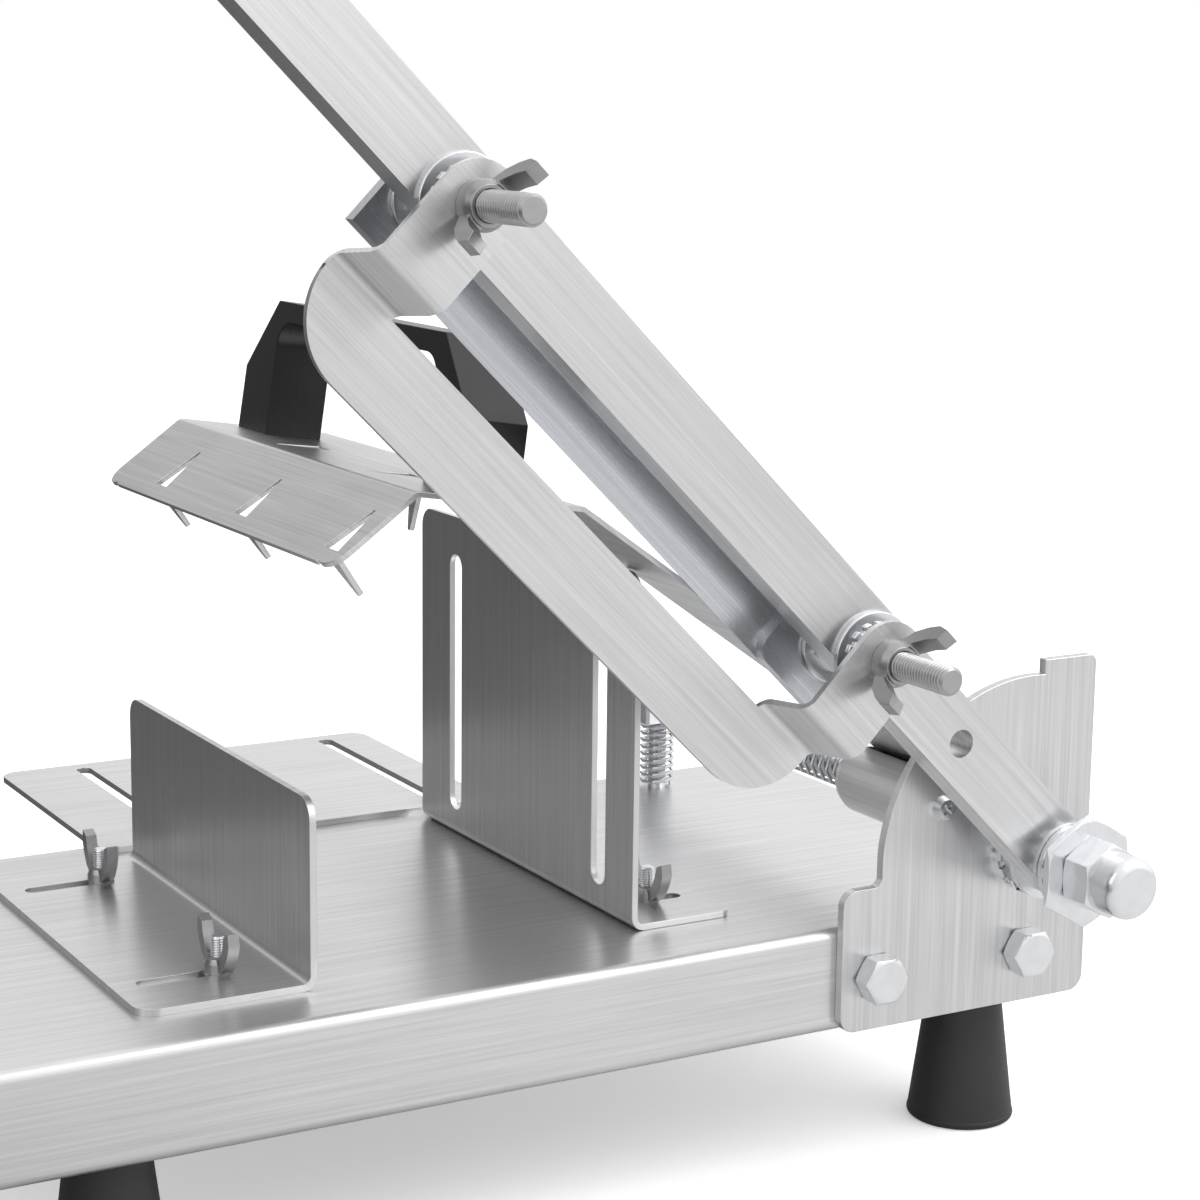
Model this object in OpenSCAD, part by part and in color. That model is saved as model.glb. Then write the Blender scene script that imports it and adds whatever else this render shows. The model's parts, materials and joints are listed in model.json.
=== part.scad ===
/* [Base] */
// Length of the base channel
base_len = 350; // [320:1:420]
// Width of the base channel, front to back
base_width = 180; // [180:1:220]
// Height of the channel, lips to top sheet
base_height = 30.5; // [28:0.5:40]
// Thickness of the sheet metal of base and guides
sheet = 2; // [1.6:0.1:2.2]
// Outer radius of the channel's folds
fold_r = 3; // [2.4:0.1:5]
// Width of the lips turned in under the base
lip_width = 34; // [30:1:50]

/* [Feet] */
// Height from the floor to the lips
foot_height = 42.5; // [30:0.5:60]
// Radius of a foot at the top
foot_top_r = 11; // [10:0.5:14]
// Radius of a foot on the floor
foot_bottom_r = 16.2; // [14:0.2:20]
// Radius of the rounded edges of a foot
foot_edge_r = 1.5; // [0.5:0.1:2.5]
// Radius of the foot bolt
foot_bolt_r = 3; // [2.5:0.1:4]
// Depth of the bolt's recess in the sole
foot_recess = 7; // [6:0.5:12]
// Thickness of the washer on a foot
foot_washer_t = 1.2; // [0.8:0.1:2]
// Foot axis from the right end
foot_right_inset = 28; // [24:1:60]
// Foot axis from the left end
foot_left_inset = 50; // [24:1:80]
// Foot axis from the front and back faces
foot_side_inset = 20; // [17:0.5:24]

/* [Front plate] */
// Thickness of the pivot plate
plate_t = 3; // [2.5:0.1:5]
// Width of the plate's lower part
plate_width = 88.1; // [84:0.1:100]
// Right edge of the plate from the base's right end
plate_end_gap = 1.5; // [0:0.1:4]
// Top of the plate's lower part above the base
plate_step_h = 11.8; // [9:0.1:16]
// Width of the plate's upper part
plate_upper_width = 75; // [70:0.1:80]
// Radius of the plate's round top about the arm's pivot
plate_arc_r = 52.2; // [50:0.1:56]
// Height of the tab above the base
tab_h = 72.7; // [70:0.1:80]
// Width of the tab
tab_width = 19; // [14:0.5:24]
// Radius of the plate's corners
plate_corner_r = 5; // [2:0.5:8]
// Small radius in the plate's outline
plate_fillet_r = 2.5; // [1:0.5:4]
// First plate bolt from the right end
plate_bolt_x = 25; // [21:0.5:30]
// Second plate bolt from the right end
plate_bolt_x2 = 78; // [70:0.5:82]
// Plate bolts below the base's top
plate_bolt_drop = 14.5; // [12.5:0.5:16]
// Radius of the plate bolts
plate_bolt_r = 4; // [3:0.5:5]
// Size across flats of their heads and nuts
plate_bolt_af = 13; // [11:0.5:14]
// Height of their heads
plate_head_h = 7; // [5:0.5:8]

/* [Arm pivot] */
// Pivot from the right end
pivot_x = 24.5; // [22:0.5:28]
// Pivot above the base's top
pivot_h = 16.3; // [14:0.1:20]
// Radius of the pivot bolt
pivot_r = 6; // [5:0.5:7]
// Size across flats of the pivot bolt's head and nut
pivot_af = 19; // [17:1:22]
// Height of the pivot bolt's head
pivot_head_h = 6.5; // [5:0.5:8]
// Space between plate and arm
pivot_space = 10; // [8:0.5:12]
// Outer radius of the pivot washers
pivot_washer_r = 12.5; // [10.5:0.5:14]
// Thickness of the pivot washers
pivot_washer_t = 2; // [1.5:0.1:2.5]
// Thickness of the toothed washer behind the arm
pivot_star_t = 1.5; // [1:0.1:2]
// Thickness of the castle washer in front of the arm
pivot_castle_t = 3.2; // [2:0.1:4]
// Size across flats of the large thin nut
pivot_thin_af = 29; // [26:0.5:30]
// Thickness of the large thin nut
pivot_thin_t = 2.7; // [2:0.1:4]
// Thickness of the pivot nut
pivot_nut_t = 10.6; // [8:0.1:12]
// Radius of the end cap
cap_r = 9; // [8:0.1:10]
// Length of the end cap
cap_len = 10; // [8:0.1:14]
// Thickness of the cap's end wall
cap_wall = 4; // [3:0.5:5]
// Radius of the cap's rounded edge
cap_edge_r = 3.2; // [1:0.1:5]

/* [Lever arm] */
// Angle of the raised arm above level
arm_angle = 44.7; // [30:0.1:60]
// Length of the flat bar beyond the pivot
arm_len = 458; // [430:1:500]
// Height of the flat bar
arm_height = 20.4; // [18:0.1:24]
// Thickness of the flat bar
arm_t = 10; // [8:0.5:12]
// Plain hole in the bar, from the pivot
arm_hole_s = 57.8; // [50:0.1:64]
// Radius of the plain hole
arm_hole_r = 4; // [3:0.1:5]
// Near end of the grip, from the pivot
grip_start = 352; // [345:1:370]
// Radius of the grip
grip_r = 15; // [13:0.5:18]
// Radius of the grip's collars
grip_collar_r = 17.5; // [15:0.5:20]
// Length of the grip's collars
grip_collar_len = 8; // [5:0.5:12]
// Rubber beyond the end of the bar
grip_end_t = 8; // [5:0.5:12]
// Radius of the grip's rounded edges
grip_edge_r = 3; // [1:0.5:4]

/* [Blade] */
// Near blade bolt from the pivot
bolt_near_s = 99.8; // [96:0.1:104]
// Distance between the two blade bolts
bolt_span = 174.2; // [170:0.1:180]
// Blade bolts below the bar's middle line
bolt_drop = 2.3; // [0:0.1:3]
// Radius of the blade bolts
bolt_r = 4; // [3:0.5:4.5]
// Bolt tips in front of the bar's face
bolt_reach = 36; // [32:0.5:40]
// Size across flats of the blade bolts' nuts
bolt_nut_af = 13; // [12:0.5:14]
// Height of the spacer nuts behind the bar
rear_nut_h = 6.4; // [5:0.1:7]
// Thickness of the washers on blade bolts
bolt_washer_t = 1.6; // [1.2:0.1:2]
// Radius of the washers behind the bar
bolt_washer_r = 10.8; // [9:0.1:12]
// Radius of the washers in front of the bar
front_washer_r = 12.5; // [9:0.1:13]
// Thickness of the toothed washers in front of the bar
star_t = 1; // [0.8:0.1:1.5]
// Thickness of the nuts in front of the bar
front_nut_h = 4; // [3:0.1:5]
// Gap between blade and base front
blade_gap = 0.6; // [0.4:0.1:1.5]
// Thickness of the blade
blade_t = 2; // [1.5:0.1:2.5]
// Thickness that the lugs add in front
lug_extra = 2.4; // [2:0.1:4]
// Cutting edge below the bar's middle line
edge_drop = 20; // [19:0.1:24]
// Start of the bevel below the bar's middle line
bevel_drop = 12.6; // [11:0.1:15]
// Thickness left at the cutting edge
edge_t = 0.2; // [0.1:0.05:0.5]
// Near end of the blade from the pivot
blade_start_s = 80; // [79:0.5:84]
// Near lug's far end from the pivot
lug_near_s = 118; // [112:0.5:124]
// Far lug's near end from the pivot
lug_far_s = 261; // [256:0.5:264]
// Far end of the blade from the pivot
blade_end_s = 285.6; // [284:0.1:290]
// Radius of the near lug's lower corner
lug_corner_r = 5; // [2:0.5:8]

/* [Slice gauge] */
// Width of the gauge plate's tabs
gauge_tab_w = 22; // [20:0.5:24]
// Bend under the tabs, below the bar's middle line
gauge_bend_drop = 25.2; // [24:0.1:27]
// Distance that the strip lies behind the tabs
gauge_offset = 17; // [14:0.5:19]
// Slope of the web between tab and strip
gauge_web_angle = 82; // [75:1:84]
// Inner radius of the gauge plate's bends
gauge_bend_r = 2; // [1.5:0.1:3]
// How far the webs lean towards the bar's far end, from tab to strip
web_lean = 1.8; // [0:0.1:3]
// Strip's lower edge below the bar's middle line
strip_drop = 54.6; // [52:0.2:58]
// Corner radius of the strip's ends
strip_r = 21; // [14:0.5:22]

/* [Wing nuts] */
// Width over the wings of the large wing nuts
wing_span = 27; // [24:0.5:32]
// Height of the large wing nuts
wing_h = 15; // [12:0.5:18]
// Radius of their bosses
wing_boss_r = 6.4; // [5.5:0.1:7]
// Height of their bosses
wing_boss_h = 6; // [5:0.5:8]
// Thickness of their wings
wing_t = 4.8; // [3:0.1:6]
// Wings and boss height of the small wing nuts against the large
small_wing_share = 0.68; // [0.6:0.01:0.75]
// Width over the wings of the small wing nuts
small_wing_span = 22.5; // [18:0.5:26]
// Height of the small wing nuts
small_wing_h = 13.2; // [10:0.1:15]
// Boss radius of the small wing nuts
small_boss_r = 3.9; // [3.4:0.1:4.5]

/* [Guides] */
// Radius of the guide studs
stud_r = 2.15; // [1.8:0.05:2.4]
// Height of the studs above the base's top
stud_h = 12; // [10:0.5:15]
// Head radius of the studs
stud_head_r = 4; // [3.5:0.1:5]
// Head thickness of the studs
stud_head_t = 1.6; // [1:0.1:2.5]
// Width of the slots that the studs pass
slot_w = 5; // [4.8:0.1:6]
// Low guide's front edge from the base's front face
guide_front = 21; // [18:0.5:24]
// Low guide's back edge from the base's back face
guide_back = 23.5; // [21:0.5:28]
// Tall guide's front edge from the base's front face
tall_guide_front = 25; // [20:0.5:26]
// Inner radius of the guides' bends
guide_bend_r = 2.2; // [1.5:0.1:4]
// Corner radius of the guide plates
guide_corner_r = 6; // [3:0.5:10]
// Low guide's upright from the right end
low_guide_x = 241; // [236:0.5:246]
// Height of the low guide
low_guide_h = 52; // [40:0.5:60]
// Length of the low guide's foot
low_foot_len = 49.5; // [46:0.5:56]
// Studs of the low guide from the right end
low_stud_x = 260.5; // [258:0.5:266]
// Length of the low guide's slots between end centres
low_slot_len = 20.5; // [14:0.5:22]
// Slots of the low guide from its front and back edges
low_slot_inset = 21; // [16:0.5:26]
// Tall guide's face from the right end
tall_guide_x = 142.7; // [141:0.1:150]
// Height of the tall guide
tall_guide_h = 103; // [90:0.5:103]
// Length of the tall guide's foot
tall_foot_len = 33.4; // [31:0.1:36]
// Studs of the tall guide from the right end
tall_stud_x = 126; // [125:0.5:130]
// Length of the slots in the tall guide's foot between end centres
tall_slot_len = 8.5; // [6:0.5:9]
// Front slot of the tall guide from its front edge
tall_slot_front = 20; // [16:0.5:28]
// Back slot of the tall guide from its back edge
tall_slot_back = 24; // [16:0.5:28]
// Width of the upright slots
window_w = 8; // [6:0.5:10]
// Lower end of the upright slots above the base's top
window_low = 9; // [8:0.5:14]
// Upper end of the upright slots above the base's top
window_high = 91; // [60:0.5:91]

/* [Rear tray] */
// Length of the tray, left to right
tray_len = 135; // [116:1:140]
// Width of the tray, front to back
tray_width = 104.5; // [90:0.5:120]
// Tray's right edge from the right end
tray_x = 114.2; // [110:0.2:118]
// Tray's front edge ahead of the base's back face
tray_overlap = 13; // [10:0.5:14]
// Left slot of the tray from its left edge
tray_slot_left = 27.5; // [16:0.5:30]
// Right slot of the tray from its right edge
tray_slot_right = 17; // [16:0.5:30]
// Studs of the tray behind its front edge
tray_stud_inset = 6.5; // [5.5:0.5:9]
// Length of the tray's slots between end centres
tray_slot_len = 90; // [60:1:92]

/* [Press rod] */
// Rod from the right end
rod_x = 56; // [54:0.5:60]
// Rod above the base's top
rod_h = 32.5; // [30:0.5:36]
// Radius of the rod
rod_r = 4; // [3.5:0.1:4.2]
// Rod's end behind the rear post's axis
rod_over = 8; // [8:0.5:11]
// Radius of the rod's screw
rod_screw_r = 2.5; // [2:0.1:3]
// Radius of the rod screw's head
rod_screw_head_r = 3.7; // [3.4:0.1:5]
// Height of the rod screw's head
rod_screw_head_h = 2.6; // [2:0.1:4]
// Depth of the screw in the rod
rod_screw_depth = 12; // [8:0.5:16]
// Axis of the rear post ahead of the base's back face
post_inset = 19; // [16:0.5:22]
// Rear post to the right of the rod's axis
post_shift = 2.5; // [0:0.5:3]
// Radius of the rear post
post_r = 3; // [2.5:0.1:3.2]
// Width of the block on the post
block_w = 15; // [13:0.5:16]
// Underside of the block above the base's top
block_low = 24; // [22:0.5:25]
// Top of the block above the base's top
block_high = 42; // [40:0.5:46]

/* [Springs] */
// Radius of the spring wire
wire_r = 0.6; // [0.5:0.05:0.7]
// Mean radius of the feed spring
feed_coil_r = 5.4; // [5:0.1:6]
// Curls of the feed spring
feed_curls = 29; // [20:1:30]
// Mean radius of the upright spring
upright_coil_r = 5.4; // [5:0.1:6]
// Curls of the upright spring
upright_curls = 9; // [6:1:9]

/* [Press] */
// Thickness of the press sheet
press_t = 1.5; // [1.2:0.1:1.8]
// Outer radius of the rolled hub
hub_r = 10.5; // [10:0.1:12]
// Slope of the press arm
press_slope = 35.2; // [35:0.1:36]
// Length of the press arm from hub to bend
press_arm_len = 148.3; // [140:0.1:152]
// Slope of the press plate beside the handle
top_slope = 8.4; // [4:0.1:12]
// Length of that plate between its bends
top_len = 47.6; // [46:0.1:50]
// Slope of the claw flange
claw_slope = 36; // [30:0.5:45]
// Length of the claw flange
claw_flange_len = 28.5; // [26:0.5:32]
// Inner radius of the press plate's bends
press_bend_r = 1.2; // [0.8:0.1:3]
// Press plate's front edge from the base's front face
press_front = 3; // [3:0.1:5]
// Length of the press plate, front to back
press_len = 166; // [160:1:175]
// Length of the arm and hub, front to back
press_arm_w = 32; // [26:0.5:50]
// Corner radius of the press plate
press_corner_r = 6; // [3:0.5:10]
// Root width of a claw
claw_w = 8.5; // [6:0.5:10]
// Length of a claw
claw_len = 15; // [12:0.5:16]
// Distance between the claws of one row
claw_pitch = 60.5; // [50:1:66]
// First claw from the press plate's front edge
claw_first = 9; // [7:0.5:14]
// Roots of the flange claws from the flange's lower edge
claw_edge = 5; // [4:0.5:8]
// First upper claw from the press plate's front edge
upper_claw_first = 45.5; // [40:0.5:50]
// Roots of the upper claws from the arm's bend
upper_claw_edge = 27; // [22:0.5:30]
// Thickness of the washers beside the hub
hub_washer_t = 2; // [1.5:0.1:3]
// Radius of the washers beside the hub
hub_washer_r = 9.6; // [9:0.1:10]

/* [Handle] */
// Half length of the handle at its feet
handle_half = 75; // [70:0.5:78]
// Half length between the handle's upper corners
handle_top_half = 55.5; // [50:0.5:60]
// Height of the handle
handle_h = 40; // [36:0.5:48]
// Height of the handle's side corners
handle_side_h = 19; // [16:0.5:26]
// How far the side corners lean in
handle_lean = 0.5; // [0.5:0.5:6]
// Width of the handle
handle_w = 18; // [16:0.5:22]
// Thickness of the handle's legs
leg_t = 21.5; // [18:0.5:24]
// Thickness of the handle's bar
bar_t = 6; // [5:0.5:12]
// Inner corner radius of the handle
handle_inner_r = 8; // [3:0.5:10]
// Radius of the handle screws
handle_screw_r = 2; // [1.5:0.1:2.5]
// Radius of the handle screws' heads
handle_screw_head_r = 3.6; // [3:0.1:5]
// Height of the handle screws' heads
handle_screw_head_h = 2.2; // [1.5:0.1:3]
// Depth of the handle screws in the legs
handle_screw_depth = 12; // [8:0.5:16]

/* [Fits] */
// Radial clearance round shanks, rods and screws
fit = 0.05; // [0.02:0.01:0.1]
// Clearance of a hole that slides on a bolt
slide_fit = 0.1; // [0.05:0.01:0.1]
// Clearance beside a part that turns between washers
face_gap = 0.05; // [0.02:0.01:0.1]
// Clearance of the press above the tall guide and beside its washers
rest_gap = 0.3; // [0.2:0.05:0.5]

/* [Hidden] */
$fn = 96;
guide_len = base_width - guide_front - guide_back;
tray_front = base_width - tray_overlap;
rod_len = base_width - post_inset + rod_over;
front_reach = plate_t + pivot_space + arm_t + bolt_reach;
arm_reach = (arm_len + grip_end_t - grip_edge_r) * cos(arm_angle)
    + (grip_r - grip_edge_r) * sin(arm_angle) + grip_edge_r;
right = max(base_len, pivot_x + arm_reach) / 2;
left = right - base_len;
front = (front_reach - tray_front - tray_width) / 2;
back = front + base_width;
base_mid_y = front + base_width / 2;
top = foot_height + base_height;
cut = plate_t;
plate_front = front - plate_t;
arm_back = plate_front - pivot_space;
arm_front = arm_back - arm_t;
thin_nut_front = arm_front - face_gap - pivot_washer_t - pivot_castle_t - pivot_thin_t;
pivot_nut_front = thin_nut_front - pivot_nut_t;
bolt_shank = front - pivot_nut_front + cap_len - cap_wall;
pivot = [right - pivot_x, 0, top + pivot_h];
bolt_far_s = bolt_near_s + bolt_span;
blade_back = front - blade_gap;
blade_front = blade_back - blade_t;
lug_front = blade_front - lug_extra;
blade_top_drop = -arm_height / 2;
star_front = arm_front - bolt_washer_t - star_t;
tab_back = star_front - front_nut_h;
tab_front = tab_back - sheet;
bolt_tip = arm_front - bolt_reach;
gauge_bends = 2 * gauge_bend_r + sheet;
gauge_web = (gauge_offset - gauge_bends * (1 - cos(gauge_web_angle))) / sin(gauge_web_angle);
strip_top = gauge_bend_drop + gauge_bends * sin(gauge_web_angle) + gauge_web * cos(gauge_web_angle);
strip_near_s = bolt_near_s - gauge_tab_w / 2 + web_lean;
strip_far_s = bolt_far_s + gauge_tab_w / 2 + web_lean;
low_mid_y = front + guide_front + guide_len / 2;
low_stud_dy = guide_len / 2 - low_slot_inset;
tall_mid_y = front + tall_guide_front + guide_len / 2;
tray_mid_x = right - tray_x - tray_len / 2;
tray_stud_y = front + tray_front + tray_stud_inset;
rod_axis = [right - rod_x, 0, top + rod_h];
hub_in = hub_r - press_t;
press_y = front + press_front;
press_mid_y = press_y + press_len / 2;
handle_screw_dy = handle_half - leg_t / 2;
post_x = rod_axis[0] + post_shift;
block_mid_x = rod_axis[0] + post_shift / 2;
post_axis_y = back - post_inset;
block_front = post_axis_y - block_w / 2;
hub_end = press_y + press_arm_w;
sleeve_front = front + face_gap + hub_washer_t;
sleeve_back = hub_end + rest_gap;
sleeve_r = hub_in - fit;
feed_start = sleeve_back + hub_washer_t + face_gap;
feed_end = block_front - face_gap;
window_mid = top + (window_low + window_high) / 2;
coil_rings = 8;
coil_sides = 6;
star_teeth = 14;
hex_share = 1 / cos(30);
rim_share = 1 / 12;
dome_share = 1 / 7;
foot_af_share = 10 / 3;
head_share = 1.3;
nut_share = 1.6;
cone_share = 0.8;
tooth_share = 1 / 4;
stem_share = 0.55;
wing_shares = [[0, 0.04], [0.42, 0.06], [0.72, 0.24], [0.9, 0.5], [1, 0.74], [0.95, 1], [0.7, 0.9],
    [0.62, 0.66], [0.44, 0.36], [0, 0.3]];

LOW_STUDS = [for (side = [-1, 1]) [right - low_stud_x, low_mid_y + side * low_stud_dy]];
TALL_STUDS = [for (dy = [tall_slot_front - guide_len / 2, guide_len / 2 - tall_slot_back])
    [right - tall_stud_x, tall_mid_y + dy]];
TRAY_STUDS = [for (dx = [tray_slot_left - tray_len / 2, tray_len / 2 - tray_slot_right])
    [tray_mid_x + dx, tray_stud_y]];
FEET = [for (x = [left + foot_left_inset, right - foot_right_inset],
    y = [front + foot_side_inset, back - foot_side_inset]) [x, y]];
PLATE_BOLTS = [for (x = [plate_bolt_x, plate_bolt_x2]) [right - x, 0, top - plate_bolt_drop]];
BLADE_BOLTS = [for (s = [bolt_near_s, bolt_far_s]) [-s, 0, -bolt_drop]];

// Rectangle with four equal round corners, centred across, standing on the axis
module round_rect(w, h, r) {
    translate([-w / 2 + r, 0]) square([w - 2 * r, h]);
    translate([-w / 2, r]) square([w, h - 2 * r]);
    for (x = [r - w / 2, w / 2 - r], z = [r, h - r]) translate([x, z]) circle(r);
}

// Rectangle with its two upper corners rounded
module round_top(w, h, r) {
    translate([-w / 2, 0]) square([w, h - r]);
    translate([r - w / 2, 0]) square([w - 2 * r, h]);
    for (x = [r - w / 2, w / 2 - r]) translate([x, h - r]) circle(r);
}

// Slot with round ends, its end centres on the axis
module slot(len, w) {
    translate([-len / 2, -w / 2]) square([len, w]);
    for (x = [-len / 2, len / 2]) translate([x, 0]) circle(w / 2);
}

// Flat piece that stands across the depth, from its back face to its front face
module upright(y_back, thick) {
    translate([0, y_back, 0]) rotate([90, 0, 0]) linear_extrude(thick) children();
}

// Round piece along the depth, from its back face to its front face
module along_y(y_back, len, r) {
    translate([0, y_back, 0]) rotate([90, 0, 0]) cylinder(h = len, r = r);
}

module ring(len, r_out, r_in) {
    linear_extrude(len) difference() {
        circle(r_out);
        circle(r_in);
    }
}

// Hexagon prism with both rims chamfered
module hex_block(af, len, share = rim_share) {
    rim = af / 2 * hex_share;
    chamfer = af * share;
    intersection() {
        linear_extrude(len) circle(rim, $fn = 6);
        rotate_extrude() polygon([[0, 0], [rim - chamfer, 0], [rim, chamfer / 2],
            [rim, len - chamfer / 2], [rim - chamfer, len], [0, len]]);
    }
}

module hex_nut(af, len, r_in) {
    difference() {
        hex_block(af, len);
        translate([0, 0, -cut]) cylinder(h = len + 2 * cut, r = r_in);
    }
}

// Washer with teeth round its rim
module star_washer(len, r_out, r_in) {
    tooth = r_out * tooth_share;
    linear_extrude(len) difference() {
        union() {
            circle(r_out - tooth / 2);
            for (i = [0:star_teeth - 1]) rotate(i * 360 / star_teeth)
                translate([0, -tooth / 2]) square([r_out, tooth]);
        }
        circle(r_in);
    }
}

// Wing nut standing on its boss, its wings along X
module wing_nut(span, h, boss_r, boss_h, t, r_in) {
    difference() {
        union() {
            cylinder(h = boss_h * stem_share, r = boss_r);
            translate([0, 0, boss_h * stem_share])
                cylinder(h = boss_h * (1 - stem_share), r1 = boss_r, r2 = boss_r * cone_share);
            for (side = [0, 1]) mirror([side, 0, 0]) rotate([90, 0, 0]) linear_extrude(t, center = true)
                polygon([for (p = wing_shares) [p[0] * span / 2, p[1] * h]]);
        }
        translate([0, 0, -cut]) cylinder(h = h + 2 * cut, r = r_in);
    }
}

// Bent sheet in side view: steps of [length, turn], the sheet above the path
module bent(steps, t, r, i = 0) {
    square([steps[i][0], t]);
    if (i < len(steps) - 1) {
        turn = steps[i][1];
        side = turn > 0 ? 1 : -1;
        centre = turn > 0 ? t + r : -r;
        translate([steps[i][0], centre]) {
            bend_ring(t, r, turn, side);
            rotate(turn) translate([0, -centre]) bent(steps, t, r, i + 1);
        }
    }
}

// Quarter or less of a ring that joins two straight runs
module bend_ring(t, r, turn, side) {
    reach = 2 * (t + r);
    intersection() {
        difference() {
            circle(r + t);
            circle(r);
        }
        polygon([[0, 0], [0, -side * reach], [reach * tan(abs(turn) / 2), -side * reach],
            [reach * sin(abs(turn)), -side * reach * cos(turn)]]);
    }
}

// Wound tube along Z with straight ends: 8 rings a curl, 6 sides
module coil(height, coil_r, curls) {
    pts = coil_path(height, coil_r, curls);
    last = len(pts) - 1;
    slope = atan((height - 4 * wire_r) / curls / (2 * PI * coil_r));
    knee = (90 + slope) / 2;
    corners = [for (i = [0:last], k = [0:coil_sides - 1]) let (
        end = i == 0 || i == last,
        turn = i == 1 || i == last - 1,
        tilt = end ? 90 : turn ? knee : slope,
        wide = turn ? 1 / cos(knee - slope) : 1,
        u = cos(k * 360 / coil_sides) * wire_r,
        v = sin(k * 360 / coil_sides) * wire_r * wide,
        a = pts[i][3],
        x = pts[i][0] + u * cos(a) - v * sin(tilt) * sin(a),
        y = pts[i][1] + u * sin(a) + v * sin(tilt) * cos(a)
    ) [x, y, pts[i][2] - v * cos(tilt)]];
    skin = [for (i = [0:last - 1], k = [0:coil_sides - 1]) let (
        a = i * coil_sides + k,
        b = i * coil_sides + (k + 1) % coil_sides
    ) each [[a, b, b + coil_sides], [a, b + coil_sides, a + coil_sides]]];
    lids = [for (k = [1:coil_sides - 2]) let (a = last * coil_sides)
        each [[0, k + 1, k], [a, a + k, a + k + 1]]];
    echo(least_gap = least_gap(pts) - 2 * wire_r);
    polyhedron(corners, concat(skin, lids));
}

// Centre points of a coil, each with its angle
function coil_path(height, coil_r, curls) =
    let (n = curls * coil_rings, rise = (height - 4 * wire_r) / n)
    concat([[coil_r, 0, 0, 0]],
        [for (i = [0:n]) let (a = i * 360 / coil_rings)
            [coil_r * cos(a), coil_r * sin(a), 2 * wire_r + i * rise, a]],
        let (a = n * 360 / coil_rings) [[coil_r * cos(a), coil_r * sin(a), height, a]]);

// Least distance between centre points more than half a curl apart
function least_gap(pts) = min([for (i = [0:len(pts) - 1], j = [i + coil_rings / 2:1:len(pts) - 1])
    norm([pts[i][0] - pts[j][0], pts[i][1] - pts[j][1], pts[i][2] - pts[j][2]])]);

// Carries pieces drawn on a level arm, pivot at the origin, to the raised arm
module on_arm() {
    translate(pivot) rotate([0, arm_angle, 0]) children();
}

// Carries a side view drawn leftwards from the hub to the press
module press_frame() {
    translate(rod_axis) mirror([1, 0, 0]) rotate([0, -press_slope, 0]) children();
}

// Carries pieces drawn on the sloping top of the press plate: X to the left from the arm's bend
module top_frame() {
    bend = press_slope - top_slope;
    press_frame() translate([press_arm_len, 0, -press_bend_r + hub_in])
        rotate([0, bend, 0]) translate([0, 0, press_bend_r]) children();
}

// Carries pieces drawn on the claw flange: X down the flange from its bend
module flange_frame() {
    top_frame() translate([top_len, 0, -press_bend_r])
        rotate([0, top_slope + claw_slope, 0]) translate([0, 0, press_bend_r]) children();
}

// Channel in end view, lips inwards
module channel_section() {
    difference() {
        round_rect(base_width, base_height, fold_r);
        translate([0, sheet]) round_rect(base_width - 2 * sheet, base_height - 2 * sheet, fold_r - sheet);
        translate([lip_width - base_width / 2, -cut]) square([base_width - 2 * lip_width, sheet + 2 * cut]);
    }
}

module base_channel() {
    through = sheet + 2 * cut;
    color("silver") difference() {
        translate([left, base_mid_y, foot_height]) rotate([90, 0, 90])
            linear_extrude(base_len) channel_section();
        for (p = PLATE_BOLTS) translate(p) along_y(front + sheet + cut, through, plate_bolt_r + fit);
        for (p = FEET) translate([p[0], p[1], foot_height - cut])
            cylinder(h = through, r = foot_bolt_r + fit);
        for (p = concat(LOW_STUDS, TALL_STUDS, TRAY_STUDS))
            translate([p[0], p[1], top - sheet - cut]) cylinder(h = through, r = stud_r + fit);
        translate([post_x, post_axis_y, top - sheet - cut])
            cylinder(h = through, r = post_r + fit);
    }
}

// Foot with rounded rims, its bolt recessed in the sole
module foot() {
    h = foot_height - foot_washer_t;
    slope_share = (foot_bottom_r - foot_top_r) / h;
    rotate_extrude() difference() {
        union() {
            polygon([[0, 0], [foot_bottom_r - foot_edge_r, 0],
                [foot_bottom_r - foot_edge_r * slope_share, foot_edge_r],
                [foot_top_r + foot_edge_r * slope_share, h - foot_edge_r],
                [foot_top_r - foot_edge_r, h], [0, h]]);
            translate([foot_bottom_r - foot_edge_r, foot_edge_r]) circle(foot_edge_r);
            translate([foot_top_r - foot_edge_r, h - foot_edge_r]) circle(foot_edge_r);
        }
        translate([-foot_bottom_r, -cut]) square([foot_bottom_r, h + 2 * cut]);
        square([foot_bolt_r + fit, h + cut]);
        translate([0, -cut]) square([foot_bolt_r * (1 + head_share), foot_recess + cut]);
    }
}

module rubber_feet() {
    color([0.06, 0.06, 0.06]) for (p = FEET) translate([p[0], p[1], 0]) foot();
}

module foot_washers() {
    color("gainsboro") for (p = FEET) translate([p[0], p[1], foot_height - foot_washer_t])
        ring(foot_washer_t, foot_top_r - foot_edge_r, foot_bolt_r + fit);
}

module foot_bolts() {
    head = foot_bolt_r * head_share;
    reach = foot_height + sheet + foot_bolt_r * 2;
    color("gainsboro") for (p = FEET) translate([p[0], p[1], foot_recess - head]) {
        hex_block(foot_bolt_r * foot_af_share, head);
        cylinder(h = reach - foot_recess + head, r = foot_bolt_r);
    }
}

module foot_nuts() {
    color("gainsboro") for (p = FEET) translate([p[0], p[1], foot_height + sheet])
        hex_nut(foot_bolt_r * foot_af_share, foot_bolt_r * nut_share, foot_bolt_r + fit);
}

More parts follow.
